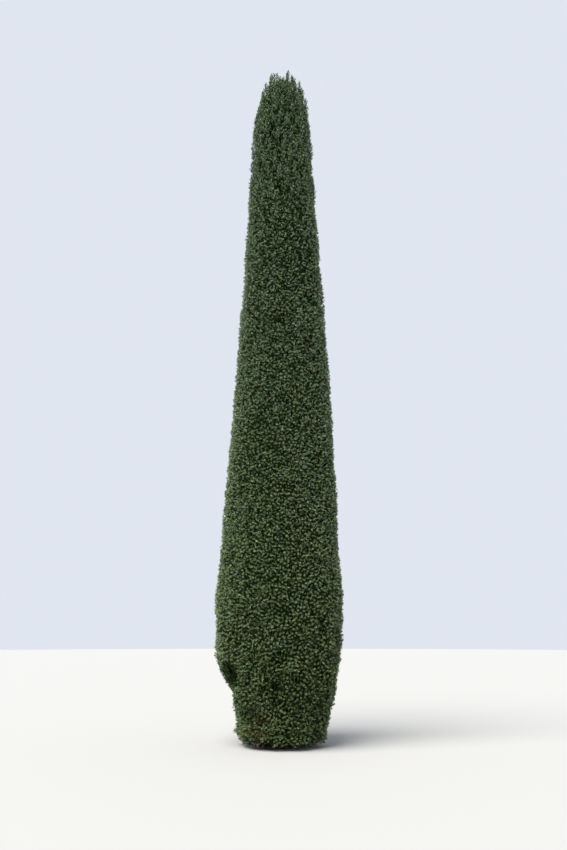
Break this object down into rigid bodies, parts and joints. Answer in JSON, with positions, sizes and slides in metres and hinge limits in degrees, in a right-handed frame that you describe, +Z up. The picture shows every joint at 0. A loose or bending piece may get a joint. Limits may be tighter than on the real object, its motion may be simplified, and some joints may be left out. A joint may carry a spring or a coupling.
{
  "type": "irish yew tree",
  "caption": "Tall, narrow evergreen tree: a straight trunk, steep boughs and upright masses of dark needle sprays that close into one tapering column.",
  "frame": {"origin": "centre of the flat cut under the trunk, at ground level", "axes": "+Z up along the tree, -Y towards the front seen in the picture, +X to the right of that view"},
  "size_m": [1.8821, 1.8699, 10.9466],
  "materials": {
    "bark": "rough, scaling bark",
    "foliage": "matt dark green needles"
  },
  "bodies": {
    "root": {"trunk": "bark", "bough_lower_right": "bark", "bough_lower_back_right": "bark", "bough_lower_back_left": "bark", "bough_lower_left": "bark", "bough_lower_front_left": "bark", "bough_lower_front_right": "bark", "bough_middle_right": "bark", "bough_middle_back_right": "bark", "bough_middle_back_left": "bark", "bough_middle_left": "bark", "bough_middle_front_left": "bark", "bough_middle_front_right": "bark", "bough_upper_right": "bark", "bough_upper_back_right": "bark", "bough_upper_back_left": "bark", "bough_upper_left": "bark", "bough_upper_front_left": "bark", "bough_upper_front_right": "bark", "foliage_foot_right": "foliage", "foliage_foot_back_right": "foliage", "foliage_foot_back_left": "foliage", "foliage_foot_left": "foliage", "foliage_foot_front_left": "foliage", "foliage_foot_front_right": "foliage", "foliage_lower_right": "foliage", "foliage_lower_back_right": "foliage", "foliage_lower_back_left": "foliage", "foliage_lower_left": "foliage", "foliage_lower_front_left": "foliage", "foliage_lower_front_right": "foliage", "foliage_middle_right": "foliage", "foliage_middle_back_right": "foliage", "foliage_middle_back_left": "foliage", "foliage_middle_left": "foliage", "foliage_middle_front_left": "foliage", "foliage_middle_front_right": "foliage", "foliage_upper_right": "foliage", "foliage_upper_back_right": "foliage", "foliage_upper_back_left": "foliage", "foliage_upper_left": "foliage", "foliage_upper_front_left": "foliage", "foliage_upper_front_right": "foliage", "foliage_top_right": "foliage", "foliage_top_back_right": "foliage", "foliage_top_back_left": "foliage", "foliage_top_left": "foliage", "foliage_top_front_left": "foliage", "foliage_top_front_right": "foliage"}
  },
  "joints": []
}
